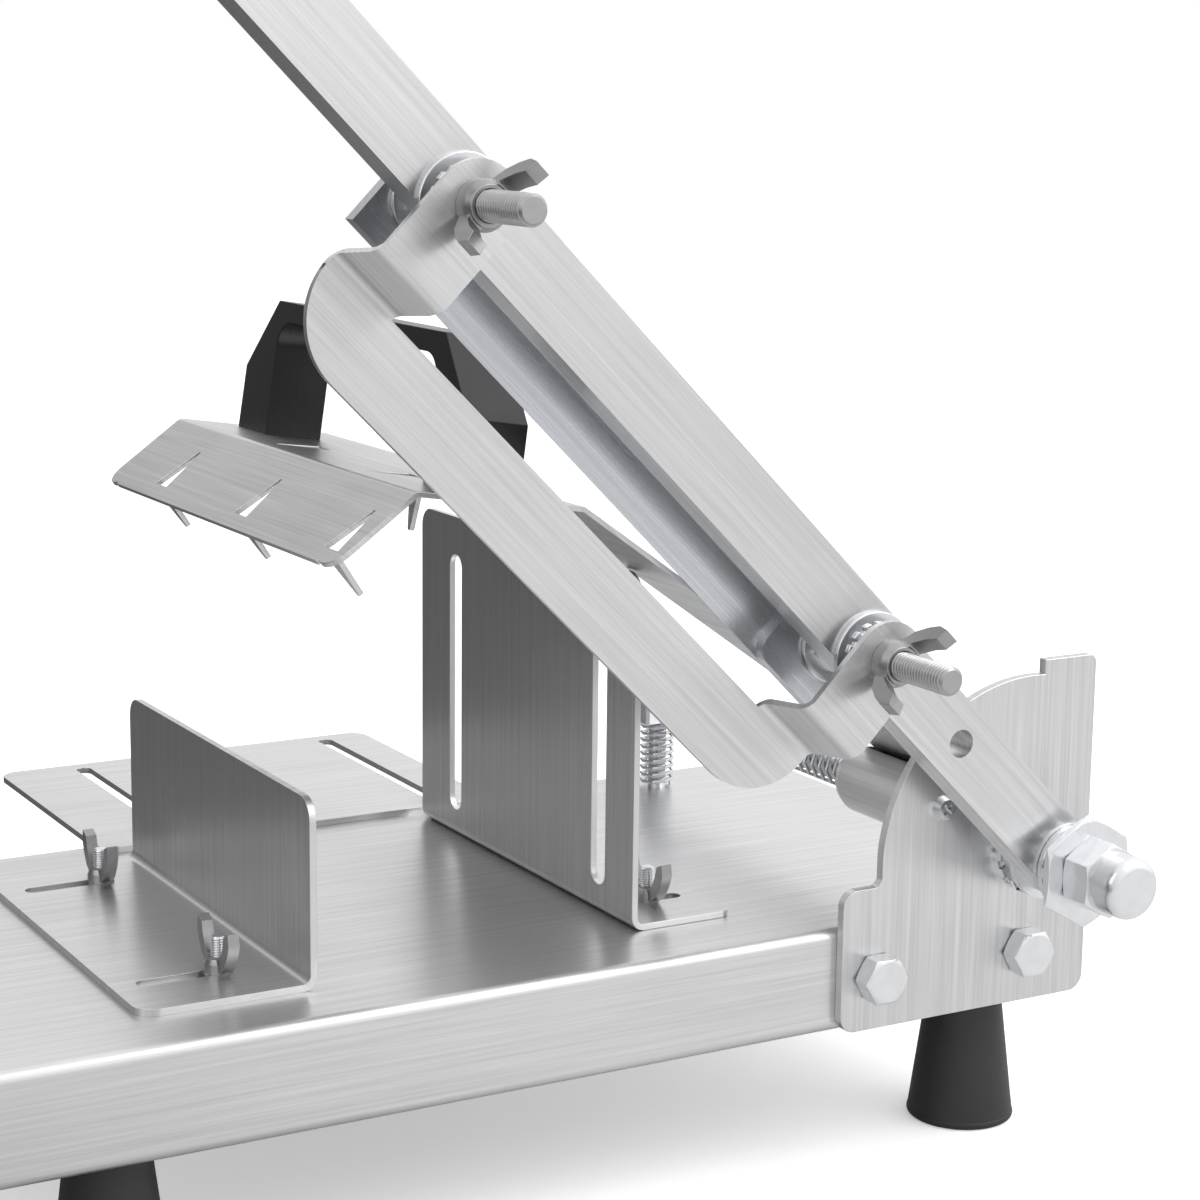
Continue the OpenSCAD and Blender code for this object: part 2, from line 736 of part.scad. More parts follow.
// Plate outline seen from the front, X from the base's right end, Z from its top
module plate_outline() {
    low = -base_height;
    x_right = -plate_end_gap;
    x_left = x_right - plate_width;
    x_upper = x_right - plate_upper_width;
    x_tab = x_right - tab_width;
    difference() {
        union() {
            translate([(x_left + x_right) / 2, low])
                round_rect(plate_width, plate_step_h - low, plate_corner_r);
            intersection() {
                translate([-pivot_x, pivot_h]) circle(plate_arc_r);
                translate([x_upper, 0]) square([plate_upper_width, pivot_h + plate_arc_r]);
            }
            translate([x_tab, 0]) square([tab_width, tab_h - plate_fillet_r]);
            translate([x_tab, 0]) square([tab_width - plate_fillet_r, tab_h]);
            translate([x_right - plate_fillet_r, tab_h - plate_fillet_r]) circle(plate_fillet_r);
            translate([x_upper - plate_fillet_r, plate_step_h - plate_fillet_r])
                square([plate_fillet_r * 2, plate_fillet_r * 2]);
        }
        translate([x_upper - plate_fillet_r, plate_step_h + plate_fillet_r]) circle(plate_fillet_r);
    }
}

module front_plate() {
    color("silver") difference() {
        translate([right, 0, top]) upright(front, plate_t) plate_outline();
        for (p = PLATE_BOLTS) translate(p) along_y(front + cut, plate_t + 2 * cut, plate_bolt_r + fit);
        translate(pivot) along_y(front + cut, plate_t + 2 * cut, pivot_r + fit);
        translate(rod_axis) along_y(front + cut, plate_t + 2 * cut, rod_screw_r + fit);
    }
}

module plate_bolts() {
    shank = plate_t + sheet + plate_bolt_r * 2;
    color("gainsboro") for (p = PLATE_BOLTS) translate([p[0], plate_front, p[2]]) {
        rotate([90, 0, 0]) hex_block(plate_bolt_af, plate_head_h, dome_share);
        along_y(shank, shank, plate_bolt_r);
    }
}

module plate_nuts() {
    nut_h = plate_bolt_r * nut_share;
    color("gainsboro") for (p = PLATE_BOLTS) translate([p[0], front + sheet + nut_h, p[2]])
        rotate([90, 0, 0]) hex_nut(plate_bolt_af, nut_h, plate_bolt_r + fit);
}

module pivot_bolt() {
    color("gainsboro") translate([pivot[0], front, pivot[2]]) {
        translate([0, pivot_head_h, 0]) rotate([90, 0, 0]) hex_block(pivot_af, pivot_head_h);
        along_y(0, bolt_shank, pivot_r);
    }
}

// Washer, toothed washer, nut and washer between plate and arm
module pivot_spacers() {
    nut_t = pivot_space - face_gap - 2 * pivot_washer_t - pivot_star_t;
    color("gainsboro") translate([pivot[0], plate_front, pivot[2]]) rotate([90, 0, 0]) {
        ring(pivot_washer_t, pivot_washer_r, pivot_r + fit);
        translate([0, 0, pivot_washer_t]) star_washer(pivot_star_t, pivot_washer_r, pivot_r + fit);
        translate([0, 0, pivot_washer_t + pivot_star_t]) hex_nut(pivot_af, nut_t, pivot_r + fit);
        translate([0, 0, pivot_space - face_gap - pivot_washer_t])
            ring(pivot_washer_t, pivot_washer_r, pivot_r + fit);
    }
}

module pivot_washer() {
    color("gainsboro") translate([pivot[0], arm_front - face_gap, pivot[2]]) rotate([90, 0, 0])
        ring(pivot_washer_t, pivot_washer_r, pivot_r + fit);
}

module pivot_star_washer() {
    color("gainsboro") translate([pivot[0], arm_front - face_gap - pivot_washer_t, pivot[2]])
        rotate([90, 0, 0]) star_washer(pivot_castle_t, pivot_washer_r, pivot_r + fit);
}

module pivot_thin_nut() {
    color("gainsboro") translate([pivot[0], thin_nut_front + pivot_thin_t, pivot[2]])
        rotate([90, 30, 0]) hex_nut(pivot_thin_af, pivot_thin_t, pivot_r + fit);
}

module pivot_nut() {
    color("gainsboro") translate([pivot[0], thin_nut_front, pivot[2]])
        rotate([90, 30, 0]) hex_nut(pivot_af, pivot_nut_t, pivot_r + fit);
}

module pivot_cap() {
    color("gainsboro") translate([pivot[0], pivot_nut_front, pivot[2]]) rotate([90, 0, 0])
        rotate_extrude() difference() {
            union() {
                square([cap_r, cap_len - cap_edge_r]);
                square([cap_r - cap_edge_r, cap_len]);
                translate([cap_r - cap_edge_r, cap_len - cap_edge_r]) circle(cap_edge_r);
            }
            translate([-cap_r, -cut]) square([cap_r, cap_len + 2 * cut]);
            translate([0, -cut]) square([pivot_r + fit, cap_len - cap_wall + cut + fit]);
        }
}

module arm_bar() {
    color("silver") on_arm() difference() {
        upright(arm_back, arm_t) {
            translate([-arm_len, -arm_height / 2]) square([arm_len, arm_height]);
            circle(arm_height / 2);
        }
        along_y(arm_back + cut, arm_t + 2 * cut, pivot_r + slide_fit);
        translate([-arm_hole_s, 0, 0]) along_y(arm_back + cut, arm_t + 2 * cut, arm_hole_r);
        for (p = BLADE_BOLTS) translate(p) along_y(arm_back + cut, arm_t + 2 * cut, bolt_r + fit);
    }
}

// Grip turned about the bar's middle line, hollow for the bar
module arm_grip() {
    span = arm_len - grip_start + grip_end_t;
    color([0.05, 0.05, 0.05]) on_arm() difference() {
        translate([-grip_start, arm_back - arm_t / 2, 0]) rotate([0, -90, 0]) rotate_extrude() {
            square([grip_r, span - grip_edge_r]);
            square([grip_r - grip_edge_r, span]);
            translate([grip_r - grip_edge_r, span - grip_edge_r]) circle(grip_edge_r);
            for (z = [0, span - grip_collar_len - grip_edge_r * 2]) translate([0, z]) {
                square([grip_collar_r - grip_edge_r, grip_collar_len]);
                translate([0, grip_edge_r]) square([grip_collar_r, grip_collar_len - 2 * grip_edge_r]);
                for (e = [grip_edge_r, grip_collar_len - grip_edge_r])
                    translate([grip_collar_r - grip_edge_r, e]) circle(grip_edge_r);
            }
        }
        upright(arm_back + fit, arm_t + 2 * fit) translate([-arm_len - fit, -arm_height / 2 - fit])
            square([arm_len - grip_start + cut, arm_height + 2 * fit]);
    }
}

// Lug seen from the front between two distances from the pivot
module lug(near, far, r) {
    low = -edge_drop;
    height = edge_drop - blade_top_drop;
    difference() {
        translate([-far, low]) square([far - near, height]);
        if (r > 0) translate([-far, low]) difference() {
            translate([-cut, -cut]) square([r + cut, r + cut]);
            translate([r, r]) circle(r);
        }
    }
}

module blade() {
    sink = bolt_r * 2;
    color("silver") on_arm() difference() {
        union() {
            translate([-blade_end_s, 0, 0]) rotate([90, 0, 90]) linear_extrude(blade_end_s - blade_start_s)
                polygon([[blade_back, -blade_top_drop], [blade_front, -blade_top_drop],
                    [blade_front, -bevel_drop], [blade_back - edge_t, -edge_drop], [blade_back, -edge_drop]]);
            upright(blade_back, blade_t + lug_extra) lug(blade_start_s, lug_near_s, lug_corner_r);
            upright(blade_back, blade_t + lug_extra) lug(lug_far_s, blade_end_s, 0);
        }
        for (p = BLADE_BOLTS) translate([p[0], blade_back, p[2]]) {
            along_y(cut, blade_t + lug_extra + 2 * cut, bolt_r + fit);
            rotate([90, 0, 0]) cylinder(h = sink - bolt_r, r1 = sink + fit, r2 = bolt_r + fit);
        }
    }
}

module blade_bolts() {
    sink = bolt_r * 2;
    color("gainsboro") on_arm() for (p = BLADE_BOLTS) translate([p[0], blade_back, p[2]]) {
        rotate([90, 0, 0]) cylinder(h = sink - bolt_r, r1 = sink, r2 = bolt_r);
        along_y(0, blade_back - bolt_tip, bolt_r);
    }
}

module rear_washers() {
    color("gainsboro") on_arm() for (p = BLADE_BOLTS) translate([p[0], lug_front, p[2]])
        rotate([90, 0, 0]) ring(lug_front - arm_back - rear_nut_h, bolt_washer_r, bolt_r + fit);
}

module rear_nuts() {
    color("gainsboro") on_arm() for (p = BLADE_BOLTS) translate([p[0], arm_back + rear_nut_h, p[2]])
        rotate([90, 0, 0]) hex_nut(bolt_nut_af, rear_nut_h, bolt_r + fit);
}

module front_washers() {
    color("gainsboro") on_arm() for (p = BLADE_BOLTS) translate([p[0], arm_front, p[2]])
        rotate([90, 0, 0]) ring(bolt_washer_t, front_washer_r, bolt_r + fit);
}

module front_star_washers() {
    color("gainsboro") on_arm() for (p = BLADE_BOLTS) translate([p[0], arm_front - bolt_washer_t, p[2]])
        rotate([90, 0, 0]) star_washer(star_t, bolt_washer_r * 0.9, bolt_r + fit);
}

module front_nuts() {
    color("gainsboro") on_arm() for (p = BLADE_BOLTS) translate([p[0], star_front, p[2]])
        rotate([90, 0, 0]) hex_nut(bolt_nut_af, front_nut_h, bolt_r + fit);
}

// Gauge plate in end view: tab, web and strip, depth across and height up
module gauge_section() {
    a = gauge_web_angle;
    lead = gauge_bend_drop + gauge_tab_w / 2 - bolt_drop;
    translate([tab_back, gauge_tab_w / 2 - bolt_drop]) rotate(-90) mirror([0, 1])
        bent([[lead, -a], [gauge_web, a], [strip_drop, 0]], sheet, gauge_bend_r);
}

// Gauge plate seen from the front
module gauge_outline() {
    half = gauge_tab_w / 2;
    bend = bolt_drop - gauge_bend_drop;
    edge = bolt_drop - strip_top;
    w = strip_far_s - strip_near_s;
    h = strip_drop - strip_top;
    for (p = BLADE_BOLTS) translate([p[0], p[2]]) {
        circle(half);
        polygon([[half, 0], [half, bend], [half - web_lean, edge], [half - web_lean, edge - sheet],
            [-half - web_lean, edge - sheet], [-half - web_lean, edge], [-half, bend], [-half, 0]]);
    }
    translate([-(strip_near_s + strip_far_s) / 2, -strip_top]) mirror([0, 1]) intersection() {
        translate([-w / 2, 0]) square([w, h]);
        round_top(w, h, min(strip_r, h));
    }
}

module gauge_plate() {
    color("silver") on_arm() difference() {
        intersection() {
            translate([-strip_far_s, 0, 0]) rotate([90, 0, 90])
                linear_extrude(strip_far_s - bolt_near_s + gauge_tab_w) gauge_section();
            upright(front, blade_back - bolt_tip + cut) gauge_outline();
        }
        for (p = BLADE_BOLTS) translate(p) along_y(tab_back + cut, sheet + 2 * cut, bolt_r + slide_fit);
    }
}

module gauge_wing_nuts() {
    color("darkgray") on_arm() for (p = BLADE_BOLTS) translate([p[0], tab_front, p[2]])
        rotate([90, 90, 0]) wing_nut(wing_span, wing_h, wing_boss_r, wing_boss_h, wing_t, bolt_r + fit);
}

// Right-angled guide in end view: upright leftmost, foot to the right
module angle_section(h, foot) {
    bend = guide_bend_r + sheet;
    translate([0, bend]) square([sheet, h - bend]);
    translate([bend, 0]) square([foot - bend, sheet]);
    intersection() {
        translate([bend, bend]) difference() {
            circle(bend);
            circle(guide_bend_r);
        }
        square([bend, bend]);
    }
}

// Guide plate with its upright's outer face at X zero and its foot to the right
module angle_guide(h, foot, foot_corner_r) {
    intersection() {
        translate([0, guide_len / 2, 0]) rotate([90, 0, 0]) linear_extrude(guide_len) angle_section(h, foot);
        translate([-cut, 0, 0]) rotate([90, 0, 90]) linear_extrude(foot + 2 * cut)
            round_top(guide_len, h, guide_corner_r);
        linear_extrude(h) rotate(-90) round_top(guide_len, foot, foot_corner_r);
    }
}

module low_guide() {
    color("silver") difference() {
        translate([right - low_guide_x, low_mid_y, top]) mirror([1, 0, 0])
            angle_guide(low_guide_h, low_foot_len, guide_corner_r);
        for (p = LOW_STUDS) translate([p[0] - low_slot_len / 2, p[1], top - cut])
            linear_extrude(sheet + 2 * cut) slot(low_slot_len, slot_w);
    }
}

module tall_guide() {
    face = right - tall_guide_x;
    color("silver") difference() {
        translate([face, tall_mid_y, top]) angle_guide(tall_guide_h, tall_foot_len, guide_corner_r / 2);
        for (p = TALL_STUDS) {
            translate([p[0] + tall_slot_len / 2, p[1], top - cut])
                linear_extrude(sheet + 2 * cut) slot(tall_slot_len, slot_w);
            translate([face - cut, p[1], window_mid]) rotate([90, 90, 90]) linear_extrude(sheet + 2 * cut)
                slot(window_high - window_low - window_w, window_w);
        }
    }
}

// Stud with a flat head under the top sheet
module stud(p) {
    translate([p[0], p[1], top - sheet - stud_head_t]) {
        cylinder(h = stud_head_t, r = stud_head_r);
        cylinder(h = sheet + stud_head_t + stud_h, r = stud_r);
    }
}

// Small wing nut on a stud, its wings front to back
module stud_wing_nut(p) {
    k = small_wing_share;
    translate([p[0], p[1], top + sheet]) rotate(90)
        wing_nut(small_wing_span, small_wing_h, small_boss_r, wing_boss_h * k, wing_t * k, stud_r + fit);
}

module low_guide_studs() {
    color("gainsboro") for (p = LOW_STUDS) stud(p);
}

module low_guide_wing_nuts() {
    color("darkgray") for (p = LOW_STUDS) stud_wing_nut(p);
}

module tall_guide_studs() {
    color("gainsboro") for (p = TALL_STUDS) stud(p);
}

module tall_guide_wing_nuts() {
    color("darkgray") for (p = TALL_STUDS) stud_wing_nut(p);
}

module rear_tray() {
    color("silver") difference() {
        translate([tray_mid_x, front + tray_front, top]) linear_extrude(sheet)
            round_rect(tray_len, tray_width, guide_corner_r);
        for (p = TRAY_STUDS) translate([p[0], p[1] + tray_slot_len / 2, top - cut]) rotate(90)
            linear_extrude(sheet + 2 * cut) slot(tray_slot_len, slot_w);
    }
}

module tray_studs() {
    color("gainsboro") for (p = TRAY_STUDS) stud(p);
}

module tray_wing_nuts() {
    color("darkgray") for (p = TRAY_STUDS) translate([p[0], p[1], 0]) rotate(90)
        translate([-p[0], -p[1], 0]) stud_wing_nut(p);
}

module cross_rod() {
    color("gainsboro") translate(rod_axis) difference() {
        along_y(front + rod_len, rod_len, rod_r);
        along_y(front + rod_screw_depth, rod_screw_depth + cut, rod_screw_r + fit);
    }
}

module rod_screw() {
    r = rod_screw_head_r;
    h = rod_screw_head_h;
    blade_w = r * tooth_share;
    shank = plate_t + rod_screw_depth - fit;
    color("gainsboro") translate([rod_axis[0], plate_front, rod_axis[2]]) {
        difference() {
            rotate([90, 0, 0]) cylinder(h = h, r1 = r, r2 = r * cone_share);
            for (a = [45, 135]) rotate([0, a, 0]) translate([-r / 2, -h - cut, -blade_w / 2])
                cube([r, cut + h / 2, blade_w]);
        }
        along_y(shank, shank, rod_screw_r);
    }
}

// Screw from under the top sheet that carries block and upright spring
module rear_post() {
    head = post_r * head_share;
    color("gainsboro") translate([post_x, post_axis_y, top - sheet - head]) {
        hex_block(post_r * foot_af_share, head);
        cylinder(h = head + sheet + rod_h - rod_r - 2 * fit, r = post_r);
    }
}

module post_block() {
    color("silver") difference() {
        translate([block_mid_x, post_axis_y - block_w / 2, top + block_low])
            linear_extrude(block_high - block_low) round_rect(block_w, block_w, block_w * rim_share);
        translate(rod_axis) along_y(post_axis_y + block_w, block_w * 2, rod_r + fit);
        translate([post_x, post_axis_y, top + block_low - cut])
            cylinder(h = rod_h - block_low + cut, r = post_r + fit);
    }
}

module upright_spring() {
    color("gainsboro") translate([post_x, post_axis_y, top + face_gap])
        coil(block_low - 2 * face_gap, upright_coil_r, upright_curls);
}

module feed_spring() {
    color("gainsboro") translate([rod_axis[0], feed_start, rod_axis[2]]) rotate([-90, 0, 0])
        coil(feed_end - feed_start, feed_coil_r, feed_curls);
}

module hub_sleeve() {
    color("dimgray") translate([rod_axis[0], sleeve_back, rod_axis[2]]) rotate([90, 0, 0])
        ring(sleeve_back - sleeve_front, sleeve_r, rod_r + fit);
}

module hub_washers() {
    color("gainsboro") for (y = [sleeve_front, sleeve_back + hub_washer_t])
        translate([rod_axis[0], y, rod_axis[2]]) rotate([90, 0, 0])
            ring(hub_washer_t, hub_washer_r, rod_r + fit);
}

// Press in side view, drawn rightwards from the hub before it is tilted
module press_section() {
    mouth = hub_r * 2;
    translate([0, hub_in]) bent([[press_arm_len, top_slope - press_slope],
        [top_len, -top_slope - claw_slope], [claw_flange_len, 0]], press_t, press_bend_r);
    difference() {
        circle(hub_r);
        circle(hub_in);
        polygon([[0, 0], [0, mouth], [mouth, mouth]]);
    }
}

// Press seen from above: arm and hub at the front, wide plate at the left
module press_plan() {
    reach = press_arm_len * cos(press_slope) - hub_r * sin(press_slope);
    translate([-reach - base_len, 0]) square([base_len, press_len]);
    translate([-reach - cut, 0]) square([reach + cut + 2 * hub_r, press_arm_w]);
}

// Claw opening: a triangle from its root towards the fold
module claw_gap() {
    tip = claw_w * rim_share;
    translate([0, 0, -cut]) linear_extrude(press_t + 2 * cut)
        polygon([[0, -claw_w / 2], [0, claw_w / 2], [-claw_len, tip], [-claw_len, -tip]]);
}

// Claw bent square out of the sheet at its root
module claw() {
    root = claw_w / 2 * cone_share;
    tip = claw_w * rim_share;
    hang = claw_len - press_t;
    translate([0, 0, -hang]) rotate([90, 0, 90]) linear_extrude(press_t)
        polygon([[-tip, 0], [tip, 0], [root, hang + press_t / 2], [-root, hang + press_t / 2]]);
}

// Corner piece taken off a sheet
module corner_off(r) {
    translate([0, 0, -cut]) linear_extrude(press_t + 2 * cut) difference() {
        translate([0, -cut]) square([r + cut, r + cut]);
        circle(r);
    }
}

module press_plate() {
    low_root = claw_flange_len - claw_edge;
    top_root = upper_claw_edge;
    low_y = press_y + claw_first;
    upper_y = press_y + upper_claw_first;
    corner_x = claw_flange_len - press_corner_r;
    color("silver") difference() {
        union() {
            difference() {
                intersection() {
                    translate([rod_axis[0], press_y + press_len, rod_axis[2]]) mirror([1, 0, 0])
                        rotate([90, 0, 0]) linear_extrude(press_len) rotate(press_slope) press_section();
                    translate([rod_axis[0], press_y, 0]) linear_extrude(top * 4) press_plan();
                }
                flange_frame() for (i = [0:2])
                    translate([low_root, low_y + i * claw_pitch, 0]) claw_gap();
                top_frame() for (i = [0, 1]) translate([top_root, upper_y + i * claw_pitch, 0])
                    mirror([1, 0, 0]) claw_gap();
                flange_frame() {
                    translate([corner_x, press_y + press_len - press_corner_r, 0])
                        corner_off(press_corner_r);
                    translate([corner_x, press_y + press_corner_r, 0])
                        mirror([0, 1, 0]) corner_off(press_corner_r);
                }
            }
            flange_frame() for (i = [0:2]) translate([low_root, low_y + i * claw_pitch, 0]) claw();
            top_frame() for (i = [0, 1])
                translate([top_root - press_t, upper_y + i * claw_pitch, 0]) claw();
        }
        top_frame() for (side = [-1, 1])
            translate([top_len / 2, press_mid_y + side * handle_screw_dy, -cut])
                cylinder(h = press_t + 2 * cut, r = handle_screw_r + fit);
    }
}

// Bridge handle in side view, front to back across and height up
module handle_side() {
    difference() {
        polygon([[-handle_half, 0], [handle_lean - handle_half, handle_side_h],
            [-handle_top_half, handle_h], [handle_top_half, handle_h],
            [handle_half - handle_lean, handle_side_h], [handle_half, 0]]);
        translate([0, -cut])
            round_top(2 * (handle_half - leg_t), handle_h - bar_t + cut, handle_inner_r);
    }
}

module press_handle() {
    color([0.05, 0.05, 0.05]) top_frame() translate([top_len / 2, press_mid_y, press_t]) difference() {
        translate([-handle_w / 2, 0, 0]) rotate([90, 0, 90]) linear_extrude(handle_w) handle_side();
        for (side = [-1, 1]) translate([0, side * handle_screw_dy, -cut])
            cylinder(h = handle_screw_depth + cut, r = handle_screw_r + fit);
    }
}

module handle_screws() {
    h = handle_screw_head_h;
    r = handle_screw_head_r;
    color("gainsboro") top_frame() for (side = [-1, 1])
        translate([top_len / 2, press_mid_y + side * handle_screw_dy, -h]) {
            cylinder(h = h, r1 = r * cone_share, r2 = r);
            cylinder(h = h + press_t + handle_screw_depth - fit, r = handle_screw_r);
        }
}

base_channel();
rubber_feet();
foot_washers();
foot_bolts();
foot_nuts();
front_plate();
plate_bolts();
plate_nuts();
pivot_bolt();
pivot_spacers();
pivot_washer();
pivot_star_washer();
pivot_thin_nut();
pivot_nut();
pivot_cap();
arm_bar();
arm_grip();
blade();
blade_bolts();
rear_washers();
rear_nuts();
front_washers();
front_star_washers();
front_nuts();
gauge_plate();
gauge_wing_nuts();
low_guide();
low_guide_studs();
low_guide_wing_nuts();
tall_guide();
tall_guide_studs();
tall_guide_wing_nuts();
rear_tray();
tray_studs();
tray_wing_nuts();
cross_rod();
rod_screw();
rear_post();
post_block();
upright_spring();
feed_spring();
hub_sleeve();
hub_washers();
press_plate();
press_handle();
handle_screws();
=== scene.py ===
import json
import math

import bmesh
import bpy
from mathutils import Matrix, Vector


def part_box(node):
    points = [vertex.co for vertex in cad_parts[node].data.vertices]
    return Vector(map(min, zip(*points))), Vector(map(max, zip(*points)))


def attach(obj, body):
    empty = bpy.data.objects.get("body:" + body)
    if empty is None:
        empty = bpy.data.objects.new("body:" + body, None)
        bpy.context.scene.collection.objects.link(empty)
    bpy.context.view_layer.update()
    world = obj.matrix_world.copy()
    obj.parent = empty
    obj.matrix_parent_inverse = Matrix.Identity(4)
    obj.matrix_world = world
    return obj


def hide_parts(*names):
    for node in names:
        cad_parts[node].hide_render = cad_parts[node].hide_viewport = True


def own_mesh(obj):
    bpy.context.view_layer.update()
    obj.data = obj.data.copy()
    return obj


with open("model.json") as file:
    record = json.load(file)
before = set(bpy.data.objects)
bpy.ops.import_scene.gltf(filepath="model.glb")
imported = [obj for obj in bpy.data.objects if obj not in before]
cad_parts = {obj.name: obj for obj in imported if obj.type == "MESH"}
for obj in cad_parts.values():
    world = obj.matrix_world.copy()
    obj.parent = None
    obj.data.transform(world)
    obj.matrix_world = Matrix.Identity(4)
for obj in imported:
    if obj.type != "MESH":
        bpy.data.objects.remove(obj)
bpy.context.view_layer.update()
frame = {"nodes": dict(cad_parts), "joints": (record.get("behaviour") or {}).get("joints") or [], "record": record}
body_of = {node: body for body, nodes in frame["record"]["behaviour"]["bodies"].items() for node in nodes}


# Viewpoint
# The slicer is seen from its front left, a little above the base, through a long lens.
# The picture cuts off the base's left end and the grip of the raised lever.
camera_place = Vector((-0.33196, -0.71159, 0.309))
camera_yaw = math.radians(29.74)
camera_pitch = math.radians(10.85)
camera_roll = math.radians(-0.69)
sensor_width = 36
focal_share = 2696 / 1200
nearest_seen = 0.01

ahead = Vector((math.sin(camera_yaw) * math.cos(camera_pitch), math.cos(camera_yaw) * math.cos(camera_pitch),
                -math.sin(camera_pitch)))
level = Vector((math.cos(camera_yaw), -math.sin(camera_yaw), 0))
down = ahead.cross(level)
across = math.cos(camera_roll) * level + math.sin(camera_roll) * down
down = -math.sin(camera_roll) * level + math.cos(camera_roll) * down
camera_data = bpy.data.cameras.new("camera")
camera_data.sensor_width = sensor_width
camera_data.lens = sensor_width * focal_share
camera_data.clip_start = nearest_seen
camera = bpy.data.objects.new("camera", camera_data)
camera.matrix_world = Matrix.Translation(camera_place) @ Matrix((across, -down, -ahead)).transposed().to_4x4()
bpy.context.collection.objects.link(camera)
bpy.context.scene.camera = camera
bpy.context.scene.view_settings.view_transform = "Standard"


# Studio light
# A pale room, brighter above and to the right, with a dark screen at the back left.
# Steel that faces left reflects the screen and the floor, whose colour has painted shade towards the screen. Rays
# of the camera see plain white behind the slicer.
room_level = 0.84
room_slope = (0.3, -0.1, 0.3)
screen_way = (-0.78, 0.62, 0.0)
screen_light = 0.3
screen_begins, screen_full = 0.45, 0.85
world = bpy.data.worlds.new("studio")
world.use_nodes = True
bpy.context.scene.world = world
room = world.node_tree
room.nodes.clear()
room_out = room.nodes.new("ShaderNodeOutputWorld")
room_paper = room.nodes.new("ShaderNodeBackground")
room_paper.inputs["Color"].default_value = (1, 1, 1, 1)
room_way = room.nodes.new("ShaderNodeTexCoord")
room_lean = room.nodes.new("ShaderNodeVectorMath")
room_lean.operation = "DOT_PRODUCT"
room_lean.inputs[1].default_value = room_slope
room_sum = room.nodes.new("ShaderNodeMath")
room_sum.operation = "ADD"
room_sum.inputs[1].default_value = room_level
room_side = room.nodes.new("ShaderNodeVectorMath")
room_side.operation = "DOT_PRODUCT"
room_side.inputs[1].default_value = screen_way
room_screen = room.nodes.new("ShaderNodeMapRange")
room_screen.inputs["From Min"].default_value = screen_begins
room_screen.inputs["From Max"].default_value = screen_full
room_screen.inputs["To Min"].default_value = 1
room_screen.inputs["To Max"].default_value = screen_light
room_shade = room.nodes.new("ShaderNodeMath")
room_shade.operation = "MULTIPLY"
room_rays = room.nodes.new("ShaderNodeLightPath")
room_mix = room.nodes.new("ShaderNodeMix")
room_mix.inputs["B"].default_value = 1.0
room.links.new(room_way.outputs["Generated"], room_lean.inputs[0])
room.links.new(room_lean.outputs["Value"], room_sum.inputs[0])
room.links.new(room_way.outputs["Generated"], room_side.inputs[0])
room.links.new(room_side.outputs["Value"], room_screen.inputs["Value"])
room.links.new(room_sum.outputs[0], room_shade.inputs[0])
room.links.new(room_screen.outputs[0], room_shade.inputs[1])
room.links.new(room_shade.outputs[0], room_mix.inputs["A"])
room.links.new(room_rays.outputs["Is Camera Ray"], room_mix.inputs["Factor"])
room.links.new(room_mix.outputs["Result"], room_paper.inputs["Strength"])
room.links.new(room_paper.outputs[0], room_out.inputs["Surface"])

lamps = (("key", (0.75, -0.75, 1.1), 0.9, 6.0), ("fill", (-1.1, -0.2, 0.9), 1.0, 2.5))
lit_point = Vector((0, 0, 0.12))
for name, place, size, power in lamps:
    lamp_data = bpy.data.lights.new(name, "AREA")
    lamp_data.size = size
    lamp_data.energy = power
    lamp = bpy.data.objects.new(name, lamp_data)
    lamp.location = place
    lamp.rotation_euler = (lit_point - Vector(place)).to_track_quat("-Z", "Y").to_euler()
    bpy.context.collection.objects.link(lamp)

# Painted shade: for every ray but the camera's, the floor's colour darkens towards the screen at the back left, so
# steel that faces left reflects a darker floor.
floor_half = 4.0
floor_light, floor_painted_dark = 0.7, 0.12
floor_shade_from, floor_shade_to = -0.15, 0.3
floor_glow = 0.35
floor_roughness = 0.9
floor_mesh = bpy.data.meshes.new("floor")
floor_corners = [(-floor_half, -floor_half, 0), (floor_half, -floor_half, 0),
                 (floor_half, floor_half, 0), (-floor_half, floor_half, 0)]
floor_mesh.from_pydata(floor_corners, [], [(0, 1, 2, 3)])
floor = bpy.data.objects.new("floor", floor_mesh)
bpy.context.collection.objects.link(floor)
floor_paint = bpy.data.materials.new("floor_paper")
floor_paint.use_nodes = True
paper = floor_paint.node_tree
paper_shade = paper.nodes["Principled BSDF"]
paper_shade.inputs["Roughness"].default_value = floor_roughness
paper_shade.inputs["Specular IOR Level"].default_value = 0.0
paper_rays = paper.nodes.new("ShaderNodeLightPath")
paper_colour = paper.nodes.new("ShaderNodeMix")
paper_colour.data_type = "RGBA"
paper_colour.inputs["B"].default_value = (1, 1, 1, 1)
paper_place = paper.nodes.new("ShaderNodeTexCoord")
paper_side = paper.nodes.new("ShaderNodeVectorMath")
paper_side.operation = "DOT_PRODUCT"
paper_side.inputs[1].default_value = screen_way
